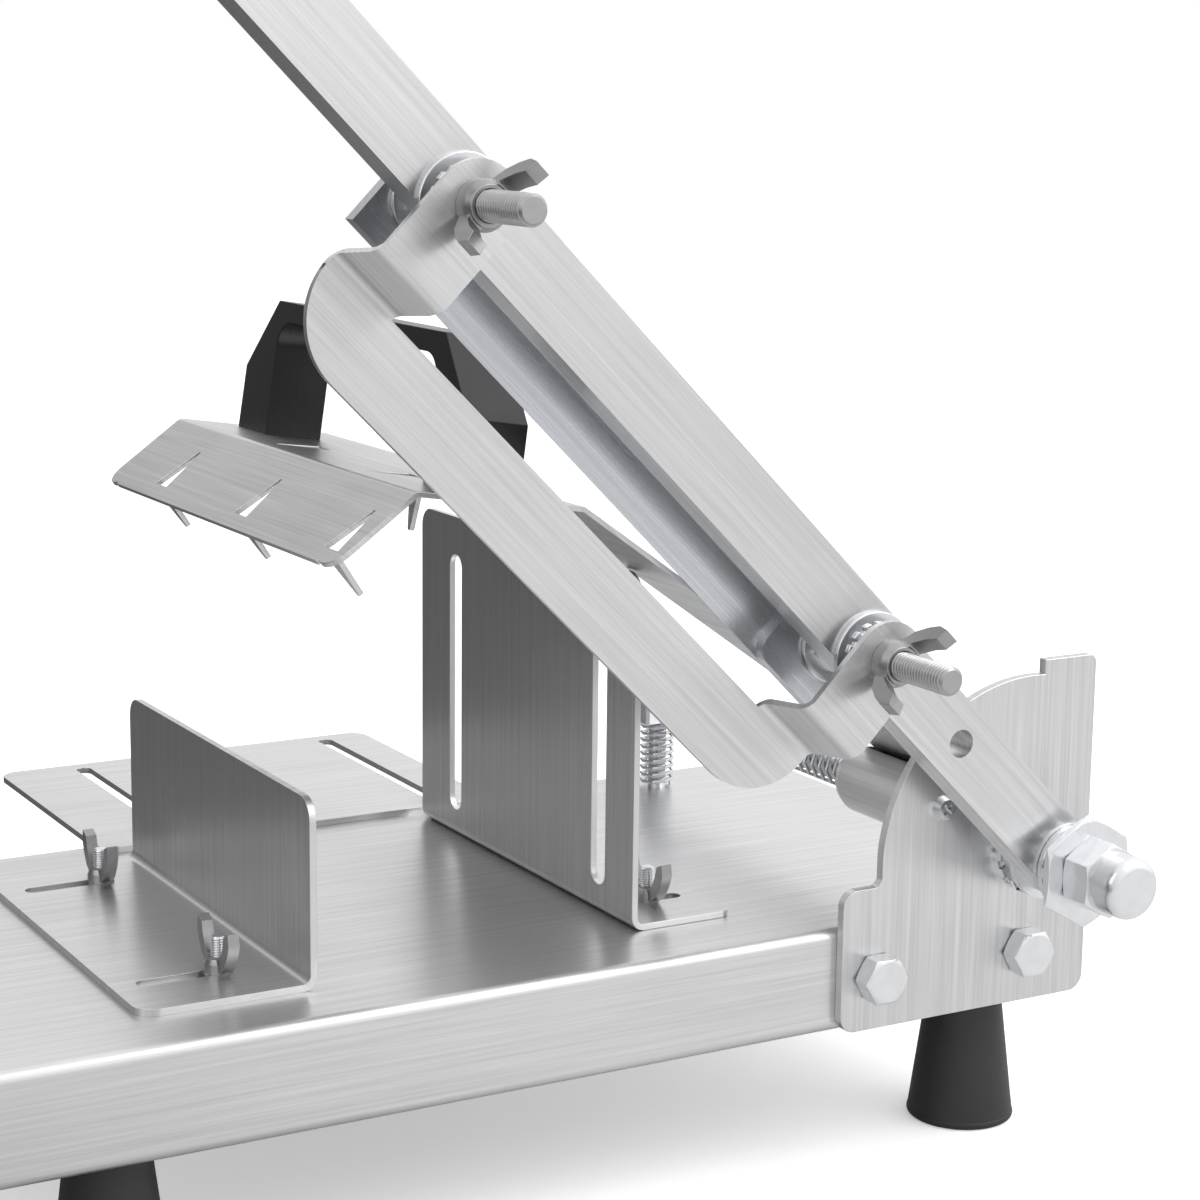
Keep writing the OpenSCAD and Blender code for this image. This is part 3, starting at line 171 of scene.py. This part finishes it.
# Painted shade on the floor, from light at the front right to dark at the back left
painted_floor_shade = paper.nodes.new("ShaderNodeMapRange")
painted_floor_shade.inputs["From Min"].default_value = floor_shade_from
painted_floor_shade.inputs["From Max"].default_value = floor_shade_to
painted_floor_shade.inputs["To Min"].default_value = floor_light
painted_floor_shade.inputs["To Max"].default_value = floor_painted_dark
paper.links.new(paper_place.outputs["Object"], paper_side.inputs[0])
paper.links.new(paper_side.outputs["Value"], painted_floor_shade.inputs["Value"])
paper.links.new(painted_floor_shade.outputs[0], paper_colour.inputs["A"])
paper.links.new(paper_rays.outputs["Is Camera Ray"], paper_colour.inputs["Factor"])
paper.links.new(paper_colour.outputs["Result"], paper_shade.inputs["Base Color"])
paper_shade.inputs["Emission Color"].default_value = (1, 1, 1, 1)
paper_glow = paper.nodes.new("ShaderNodeMath")
paper_glow.operation = "MULTIPLY"
paper_glow.inputs[1].default_value = floor_glow
paper.links.new(paper_rays.outputs["Is Camera Ray"], paper_glow.inputs[0])
paper.links.new(paper_glow.outputs[0], paper_shade.inputs["Emission Strength"])
floor_mesh.materials.append(floor_paint)


# Base channel, front plate and guides
# Two millimetre stainless sheet, brushed in the roll's direction before it is cut and folded.
# The front plate is bolted to the base, and wing nuts hold the guides and the tray.
# The cut edges are broken, so they catch a thin line of light.
def grain_group():
    """Fine scratches of a brushing belt, with slow clouds where the belt pressed harder"""
    short_scratches = (22, 1300, 0)
    long_scratches = (7, 430, 4)
    long_share = 0.45
    cloud_per_metre = 22
    cloud_share = 0.3
    noise_low, noise_high = 0.32, 0.68
    darkening = 0.6
    roughness_swing = 0.14
    scratch_depth = 0.00004
    group = bpy.data.node_groups.new("brushed_grain", "ShaderNodeTree")
    face = group.interface
    for label, kind, value in (("Along", "NodeSocketVector", (1, 0, 0)),
                               ("Across", "NodeSocketVector", (0, 1, 0)),
                               ("Colour", "NodeSocketColor", (0.7, 0.7, 0.7, 1)),
                               ("Contrast", "NodeSocketFloat", 0.2),
                               ("Roughness", "NodeSocketFloat", 0.3),
                               ("Relief", "NodeSocketFloat", 0.3)):
        face.new_socket(label, in_out="INPUT", socket_type=kind).default_value = value
    for label, kind in (("Colour", "NodeSocketColor"), ("Roughness", "NodeSocketFloat"),
                        ("Normal", "NodeSocketVector")):
        face.new_socket(label, in_out="OUTPUT", socket_type=kind)
    nodes, links = group.nodes, group.links
    given = nodes.new("NodeGroupInput")
    result = nodes.new("NodeGroupOutput")
    place = nodes.new("ShaderNodeTexCoord")

    def measured(direction, per_metre):
        dot = nodes.new("ShaderNodeVectorMath")
        dot.operation = "DOT_PRODUCT"
        scale = nodes.new("ShaderNodeMath")
        scale.operation = "MULTIPLY"
        scale.inputs[1].default_value = per_metre
        links.new(place.outputs["Object"], dot.inputs[0])
        links.new(given.outputs[direction], dot.inputs[1])
        links.new(dot.outputs["Value"], scale.inputs[0])
        return scale.outputs[0]

    def scratches(long_per_metre, fine_per_metre, depth):
        point = nodes.new("ShaderNodeCombineXYZ")
        point.inputs[2].default_value = depth
        noise = nodes.new("ShaderNodeTexNoise")
        noise.inputs["Scale"].default_value = 1
        noise.inputs["Detail"].default_value = 3
        links.new(measured("Along", long_per_metre), point.inputs[0])
        links.new(measured("Across", fine_per_metre), point.inputs[1])
        links.new(point.outputs[0], noise.inputs["Vector"])
        return noise.outputs["Fac"]

    def blended(first, second, share):
        mix = nodes.new("ShaderNodeMix")
        mix.inputs["Factor"].default_value = share
        links.new(first, mix.inputs["A"])
        links.new(second, mix.inputs["B"])
        return mix.outputs["Result"]

    clouds = nodes.new("ShaderNodeTexNoise")
    clouds.inputs["Scale"].default_value = cloud_per_metre
    clouds.inputs["Detail"].default_value = 2
    links.new(place.outputs["Object"], clouds.inputs["Vector"])
    streaks = blended(scratches(*short_scratches), scratches(*long_scratches), long_share)
    spread = nodes.new("ShaderNodeMapRange")
    spread.inputs["From Min"].default_value = noise_low
    spread.inputs["From Max"].default_value = noise_high
    links.new(streaks, spread.inputs["Value"])
    tone = blended(spread.outputs[0], clouds.outputs["Fac"], cloud_share)
    shade = nodes.new("ShaderNodeMath")
    shade.operation = "MULTIPLY_ADD"
    links.new(tone, shade.inputs[0])
    links.new(given.outputs["Contrast"], shade.inputs[1])
    base = nodes.new("ShaderNodeMath")
    base.operation = "MULTIPLY_ADD"
    base.inputs[1].default_value = -darkening
    base.inputs[2].default_value = 1
    links.new(given.outputs["Contrast"], base.inputs[0])
    links.new(base.outputs[0], shade.inputs[2])
    tint = nodes.new("ShaderNodeVectorMath")
    tint.operation = "SCALE"
    links.new(given.outputs["Colour"], tint.inputs[0])
    links.new(shade.outputs[0], tint.inputs["Scale"])
    links.new(tint.outputs[0], result.inputs["Colour"])
    dull = nodes.new("ShaderNodeMath")
    dull.operation = "MULTIPLY_ADD"
    dull.inputs[1].default_value = -roughness_swing
    links.new(tone, dull.inputs[0])
    lift = nodes.new("ShaderNodeMath")
    lift.operation = "ADD"
    lift.inputs[1].default_value = roughness_swing / 2
    links.new(given.outputs["Roughness"], lift.inputs[0])
    links.new(lift.outputs[0], dull.inputs[2])
    links.new(dull.outputs[0], result.inputs["Roughness"])
    bump = nodes.new("ShaderNodeBump")
    bump.inputs["Distance"].default_value = scratch_depth
    links.new(given.outputs["Relief"], bump.inputs["Strength"])
    links.new(streaks, bump.inputs["Height"])
    links.new(bump.outputs[0], result.inputs["Normal"])
    return group


brushed_grain = grain_group()
light_spread = 0.7


def brushed(name, colour, along, across, roughness=0.33, contrast=0.34, relief=0.4):
    """Steel brushed along one direction, whose lights spread across the grain"""
    material = bpy.data.materials.new(name)
    material.use_nodes = True
    tree = material.node_tree
    shader = tree.nodes["Principled BSDF"]
    shader.inputs["Metallic"].default_value = 1
    grain = tree.nodes.new("ShaderNodeGroup")
    grain.node_tree = brushed_grain
    grain.inputs["Along"].default_value = along
    grain.inputs["Across"].default_value = across
    grain.inputs["Colour"].default_value = (*colour, 1)
    grain.inputs["Roughness"].default_value = roughness
    grain.inputs["Contrast"].default_value = contrast
    grain.inputs["Relief"].default_value = relief
    tree.links.new(grain.outputs["Colour"], shader.inputs["Base Color"])
    tree.links.new(grain.outputs["Roughness"], shader.inputs["Roughness"])
    tree.links.new(grain.outputs["Normal"], shader.inputs["Normal"])
    cross = tree.nodes.new("ShaderNodeVectorTransform")
    cross.vector_type = "VECTOR"
    cross.convert_from = "OBJECT"
    cross.convert_to = "WORLD"
    cross.inputs[0].default_value = across
    shader.inputs["Anisotropic"].default_value = light_spread
    tree.links.new(cross.outputs[0], shader.inputs["Tangent"])
    return material


def settle(piece, node, material):
    """Puts a finished piece in the place of its plain sub-part"""
    piece.data.materials.clear()
    piece.data.materials.append(material)
    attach(piece, body_of[node])
    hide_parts(node)


def edged(node, width, material, steps=2, corner=32):
    """The sub-part with its sharp edges broken to a narrow round"""
    weld_gap = 0.000002
    flat_within = math.radians(0.5)
    mesh = frame["nodes"][node].data.copy()
    shape = bmesh.new()
    shape.from_mesh(mesh)
    bmesh.ops.remove_doubles(shape, verts=shape.verts, dist=weld_gap)
    bmesh.ops.dissolve_limit(shape, angle_limit=flat_within, verts=shape.verts, edges=shape.edges)
    for surface in shape.faces:
        surface.smooth = True
    shape.to_mesh(mesh)
    shape.free()
    if "custom_normal" in mesh.attributes:
        mesh.attributes.remove(mesh.attributes["custom_normal"])
    piece = bpy.data.objects.new(node + "_finished", mesh)
    bpy.context.collection.objects.link(piece)
    round_edge = piece.modifiers.new("edge", "BEVEL")
    round_edge.width = width
    round_edge.segments = steps
    round_edge.limit_method = "ANGLE"
    round_edge.angle_limit = math.radians(corner)
    flat_faces = piece.modifiers.new("flat_faces", "WEIGHTED_NORMAL")
    flat_faces.keep_sharp = False
    piece.data = bpy.data.meshes.new_from_object(piece.evaluated_get(bpy.context.evaluated_depsgraph_get()))
    piece.modifiers.clear()
    settle(piece, node, material)
    return piece


steel = (0.71, 0.71, 0.715)
sheet_edge = 0.0003
base_steel = brushed("base_steel", steel, (1, 0, 0), (0, 1, 1))
folded_steel = brushed("folded_steel", steel, (1, 0, 1), (0, 1, 0))
upright_steel = brushed("upright_steel", steel, (0, 0, 1), (1, 0, 0))
edged("base_channel", sheet_edge, base_steel)
edged("front_plate", sheet_edge, upright_steel)
edged("low_guide", sheet_edge, folded_steel)
edged("tall_guide", sheet_edge, folded_steel)
edged("rear_tray", sheet_edge, base_steel)


# Rubber feet
# Four tapered feet moulded in black rubber.
# Each is held under the base by a bolt, with a steel washer and a nut.
def moulded(name, colour, roughness, grain_per_metre, relief, gloss=0.5):
    """Rubber or plastic with the fine grain of its mould"""
    grains_per_patch = 25
    dark_share, pale_share = 0.8, 1.35
    smoother, rougher = 0.06, 0.08
    grain_depth = 0.00005
    material = bpy.data.materials.new(name)
    material.use_nodes = True
    tree = material.node_tree
    shader = tree.nodes["Principled BSDF"]
    shader.inputs["Specular IOR Level"].default_value = gloss
    place = tree.nodes.new("ShaderNodeTexCoord")
    grain = tree.nodes.new("ShaderNodeTexNoise")
    grain.inputs["Scale"].default_value = grain_per_metre
    grain.inputs["Detail"].default_value = 3
    patches = tree.nodes.new("ShaderNodeTexNoise")
    patches.inputs["Scale"].default_value = grain_per_metre / grains_per_patch
    dust = tree.nodes.new("ShaderNodeMix")
    dust.data_type = "RGBA"
    dust.inputs["A"].default_value = (*[part * dark_share for part in colour], 1)
    dust.inputs["B"].default_value = (*[part * pale_share for part in colour], 1)
    polish = tree.nodes.new("ShaderNodeMapRange")
    polish.inputs["To Min"].default_value = roughness - smoother
    polish.inputs["To Max"].default_value = roughness + rougher
    bump = tree.nodes.new("ShaderNodeBump")
    bump.inputs["Strength"].default_value = relief
    bump.inputs["Distance"].default_value = grain_depth
    tree.links.new(place.outputs["Object"], grain.inputs["Vector"])
    tree.links.new(place.outputs["Object"], patches.inputs["Vector"])
    tree.links.new(patches.outputs["Fac"], dust.inputs["Factor"])
    tree.links.new(dust.outputs["Result"], shader.inputs["Base Color"])
    tree.links.new(patches.outputs["Fac"], polish.inputs["Value"])
    tree.links.new(polish.outputs[0], shader.inputs["Roughness"])
    tree.links.new(grain.outputs["Fac"], bump.inputs["Height"])
    tree.links.new(bump.outputs[0], shader.inputs["Normal"])
    return material


def coat(material, *nodes):
    """Gives plain sub-parts their finish"""
    for node in nodes:
        slots = frame["nodes"][node].material_slots
        for place in slots:
            place.material = material
        if not slots:
            frame["nodes"][node].data.materials.append(material)


rubber = moulded("black_rubber", (0.022, 0.022, 0.023), roughness=0.5, grain_per_metre=2600, relief=0.25)
coat(rubber, "rubber_feet")


# Plated hardware
# Bolts, nuts and washers of turned and pressed steel, with the cross rod and the rear post.
# They are zinc plated and bright, with faint blotches from the bath.
def plated(name, colour, roughness, blotch_per_metre, relief):
    """Zinc on turned or pressed steel"""
    dark_share, pale_share = 0.86, 1.06
    roughness_swing = 0.07
    blotch_depth = 0.00004
    material = bpy.data.materials.new(name)
    material.use_nodes = True
    tree = material.node_tree
    shader = tree.nodes["Principled BSDF"]
    shader.inputs["Metallic"].default_value = 1
    place = tree.nodes.new("ShaderNodeTexCoord")
    blotches = tree.nodes.new("ShaderNodeTexNoise")
    blotches.inputs["Scale"].default_value = blotch_per_metre
    blotches.inputs["Detail"].default_value = 4
    tint = tree.nodes.new("ShaderNodeMix")
    tint.data_type = "RGBA"
    tint.inputs["A"].default_value = (*[part * dark_share for part in colour], 1)
    tint.inputs["B"].default_value = (*[part * pale_share for part in colour], 1)
    polish = tree.nodes.new("ShaderNodeMapRange")
    polish.inputs["To Min"].default_value = roughness + roughness_swing
    polish.inputs["To Max"].default_value = roughness - roughness_swing
    bump = tree.nodes.new("ShaderNodeBump")
    bump.inputs["Strength"].default_value = relief
    bump.inputs["Distance"].default_value = blotch_depth
    tree.links.new(place.outputs["Object"], blotches.inputs["Vector"])
    tree.links.new(blotches.outputs["Fac"], tint.inputs["Factor"])
    tree.links.new(tint.outputs["Result"], shader.inputs["Base Color"])
    tree.links.new(blotches.outputs["Fac"], polish.inputs["Value"])
    tree.links.new(polish.outputs[0], shader.inputs["Roughness"])
    tree.links.new(blotches.outputs["Fac"], bump.inputs["Height"])
    tree.links.new(bump.outputs[0], shader.inputs["Normal"])
    return material


zinc = plated("bright_zinc", (0.82, 0.83, 0.85), roughness=0.24, blotch_per_metre=260, relief=0.3)
nut_edge = 0.00035
for node in ("plate_bolts", "pivot_spacers", "pivot_washer", "pivot_star_washer", "pivot_thin_nut",
             "pivot_nut", "rear_nuts", "rear_washers", "front_washers", "front_star_washers", "front_nuts",
             "post_block"):
    edged(node, nut_edge, zinc)
coat(zinc, "foot_washers", "foot_bolts", "foot_nuts", "plate_nuts", "pivot_bolt", "pivot_cap", "cross_rod",
     "rod_screw", "rear_post", "hub_washers", "handle_screws")


# Lever arm and blade
# The flat bar is steel, brushed lengthwise, and turns about the pivot bolt at its near end.
# The blade is ground, a little bluer, and bolted behind the bar.
# The gauge plate is folded sheet, clamped in front of the bar.
arm_angle = math.radians(44.7)
along_arm = Vector((-math.cos(arm_angle), 0, math.sin(arm_angle)))
below_arm = Vector((-math.sin(arm_angle), 0, -math.cos(arm_angle)))
across_arm = below_arm + Vector((0, 1, 0))
blade_edge = 0.0001
bar_steel = brushed("bar_steel", steel, along_arm, across_arm)
blade_steel = brushed("blade_steel", (0.62, 0.64, 0.67), along_arm, across_arm,
                      roughness=0.28, contrast=0.26, relief=0.3)
edged("arm_bar", nut_edge, bar_steel)
edged("blade", blade_edge, blade_steel)
edged("gauge_plate", sheet_edge, bar_steel)


# Blade bolts
# Two countersunk steel bolts that pass blade and bar and carry the gauge plate.
# Their threads run out to a chamfered tip.
def threaded(shape, place, radius, pitch, start, end, chamfer, sides=28):
    """A screw thread along Z from start to end, open at the start"""
    rings_per_turn = 8
    flank_slope = 1.35
    depth_share = 0.62
    rings = round((end - start) / pitch * rings_per_turn)
    depth = pitch * depth_share
    rows = []
    for i in range(rings + 1):
        z = start + (end - start) * i / rings
        lead = min(1, (z - start) / pitch)
        row = []
        for k in range(sides):
            turn = k / sides
            wave = abs(2 * ((z / pitch - turn) % 1) - 1)
            cut = depth * lead * max(0, 1 - wave * flank_slope)
            reach = min(radius - cut, radius - max(0, z - end + chamfer))
            row.append(shape.verts.new(place @ Vector((reach * math.cos(math.tau * turn),
                                                       reach * math.sin(math.tau * turn), z))))
        rows.append(row)
    for low, high in zip(rows, rows[1:]):
        for k in range(sides):
            shape.faces.new((low[k], low[(k + 1) % sides], high[(k + 1) % sides], high[k])).smooth = True
    shape.faces.new(rows[-1])
    return rows[0]


def turned(shape, place, outline, sides=28):
    """A turned stem, given as pairs of radius and height, closed at its first pair"""
    turns = [math.tau * k / sides for k in range(sides)]
    rows = [[shape.verts.new(place @ Vector((r * math.cos(turn), r * math.sin(turn), z))) for turn in turns]
            for r, z in outline]
    for low, high in zip(rows, rows[1:]):
        for k in range(sides):
            shape.faces.new((low[k], low[(k + 1) % sides], high[(k + 1) % sides], high[k])).smooth = True
    shape.faces.new(rows[0][::-1])
    return rows[-1]


def joined(name, shape, node, material):
    """Closes a mesh and puts it in the place of its plain sub-part"""
    weld_gap = 0.000001
    sharp_from = math.radians(40)
    bmesh.ops.remove_doubles(shape, verts=shape.verts, dist=weld_gap)
    bmesh.ops.recalc_face_normals(shape, faces=shape.faces)
    mesh = bpy.data.meshes.new(name)
    shape.to_mesh(mesh)
    shape.free()
    mesh.set_sharp_from_angle(angle=sharp_from)
    piece = bpy.data.objects.new(name, mesh)
    bpy.context.collection.objects.link(piece)
    settle(piece, node, material)


pivot = Vector(next(j["pos_m"] for j in frame["joints"] if j["name"] == "arm_hinge"))
bolt_radius = 0.004
bolt_pitch = 0.00125
bolt_drop = 0.0023
bolt_places = (0.0998, 0.274)
bolt_plain = 0.016
bolt_chamfer = 0.0009
blade_back_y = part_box("blade_bolts")[1].y
bolt_reach = blade_back_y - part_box("blade_bolts")[0].y
dull_zinc = plated("dull_zinc", (0.44, 0.44, 0.445), roughness=0.34, blotch_per_metre=420, relief=0.5)
shape = bmesh.new()
for along in bolt_places:
    axis_point = pivot + along_arm * along + below_arm * bolt_drop
    head_place = Matrix.Translation((axis_point.x, blade_back_y, axis_point.z))
    place = head_place @ Matrix.Rotation(math.radians(90), 4, "X")
    turned(shape, place, ((bolt_radius * 2, 0), (bolt_radius, bolt_radius), (bolt_radius, bolt_plain)))
    threaded(shape, place, bolt_radius, bolt_pitch, bolt_plain, bolt_reach, bolt_chamfer)
joined("threaded_blade_bolts", shape, "blade_bolts", dull_zinc)


# Grip
# Black rubber moulded on the bar's far end, with a slim neck, two round collars and a rounded end.
# The outline is given as pairs of radius and distance from the grip's start.
grip_start = 0.352
grip_outline = ((0.0125, 0.0008), (0.0131, 0.0014), (0.0131, 0.0042), (0.0151, 0.0044), (0.0168, 0.0053),
                (0.0175, 0.0068), (0.0175, 0.0098), (0.0168, 0.0113), (0.0151, 0.0122), (0.015, 0.0126),
                (0.015, 0.0998), (0.0151, 0.1002), (0.0168, 0.1011), (0.0175, 0.1026), (0.0175, 0.1054),
                (0.0168, 0.1069), (0.0151, 0.1078), (0.015, 0.1082), (0.015, 0.111), (0.0141, 0.1131),
                (0.012, 0.114))
arm_low, arm_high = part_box("arm_bar")
grip_foot = Vector((pivot.x, (arm_low.y + arm_high.y) / 2, pivot.z)) + along_arm * grip_start
grip_sides = 48
place = Matrix.Translation(grip_foot) @ along_arm.to_track_quat("Z", "Y").to_matrix().to_4x4()
shape = bmesh.new()
shape.faces.new(turned(shape, place, grip_outline, grip_sides))
joined("moulded_grip", shape, "arm_grip", rubber)


# Guide studs
# Small zinc plated studs stand up from the base's top, fixed by a flat head under it.
# They carry the wing nuts that hold guides and tray.
stud_radius = 0.00215
stud_head = 0.004
stud_head_height = 0.0016
stud_plain = 0.004
stud_pitch = 0.0007
stud_chamfer = 0.0005
stud_sides = 20
for node in ("low_guide_studs", "tall_guide_studs", "tray_studs"):
    low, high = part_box(node)
    inset = Vector((stud_head, stud_head, 0))
    ends = (low + inset, Vector((high.x, high.y, low.z)) - inset)
    shape = bmesh.new()
    for end in ends:
        place = Matrix.Translation(end)
        turned(shape, place, ((stud_head, 0), (stud_head, stud_head_height), (stud_radius, stud_head_height),
                              (stud_radius, stud_plain)))
        threaded(shape, place, stud_radius, stud_pitch, stud_plain, high.z - low.z, stud_chamfer, stud_sides)
    joined("threaded_" + node, shape, node, zinc)


# Wing nuts
# Steel wing nuts with a darker, satin surface. Two clamp the gauge plate on the blade bolts.
# Two each hold the guides and the tray on their studs. The tray's are turned out of sight of the front left.
satin = plated("satin_zinc", (0.4, 0.4, 0.4), roughness=0.36, blotch_per_metre=520, relief=0.8)
wing_edge = 0.0004
for node in ("gauge_wing_nuts", "low_guide_wing_nuts", "tall_guide_wing_nuts"):
    edged(node, wing_edge, satin)
wing_turn = Matrix.Rotation(math.radians(60), 3, "Z")
tray_wings = edged("tray_wing_nuts", wing_edge, satin)
low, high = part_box("tray_studs")
axes = [Vector((x, (low.y + high.y) / 2, 0)) for x in (low.x + stud_head, high.x - stud_head)]
for point in tray_wings.data.vertices:
    axis = min(axes, key=lambda a: abs(a.x - point.co.x))
    point.co = axis + wing_turn @ (point.co - axis)


# Springs
# Wound from drawn steel wire, one on the cross rod and one on the rear post.
# The rod's spring stands against the rear block.
wire = plated("drawn_wire", (0.66, 0.67, 0.69), roughness=0.22, blotch_per_metre=900, relief=0.2)
coat(wire, "upright_spring")
feed_spring = bpy.data.objects.new("feed_spring_wound", frame["nodes"]["feed_spring"].data.copy())
bpy.context.collection.objects.link(feed_spring)
settle(feed_spring, "feed_spring", wire)
low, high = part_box("feed_spring")
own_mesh(feed_spring)


# Press
# One bent steel sheet with punched claws and a rolled hub on the cross rod, brushed along its length.
# The black handle is moulded, glossy and screwed on. A grey nylon sleeve lines the hub.
press_edge = 0.0002
press_steel = brushed("press_steel", steel, (0, 1, 0), (1, 0, 1))
edged("press_plate", press_edge, press_steel)
gloss_black = moulded("gloss_black", (0.012, 0.012, 0.013), roughness=0.27, grain_per_metre=1800,
                      relief=0.12, gloss=0.35)
handle_edge = 0.002
handle_steps = 3
edged("press_handle", handle_edge, gloss_black, handle_steps)
nylon = moulded("grey_nylon", (0.12, 0.12, 0.125), roughness=0.5, grain_per_metre=1500, relief=0.2)
coat(nylon, "hub_sleeve")
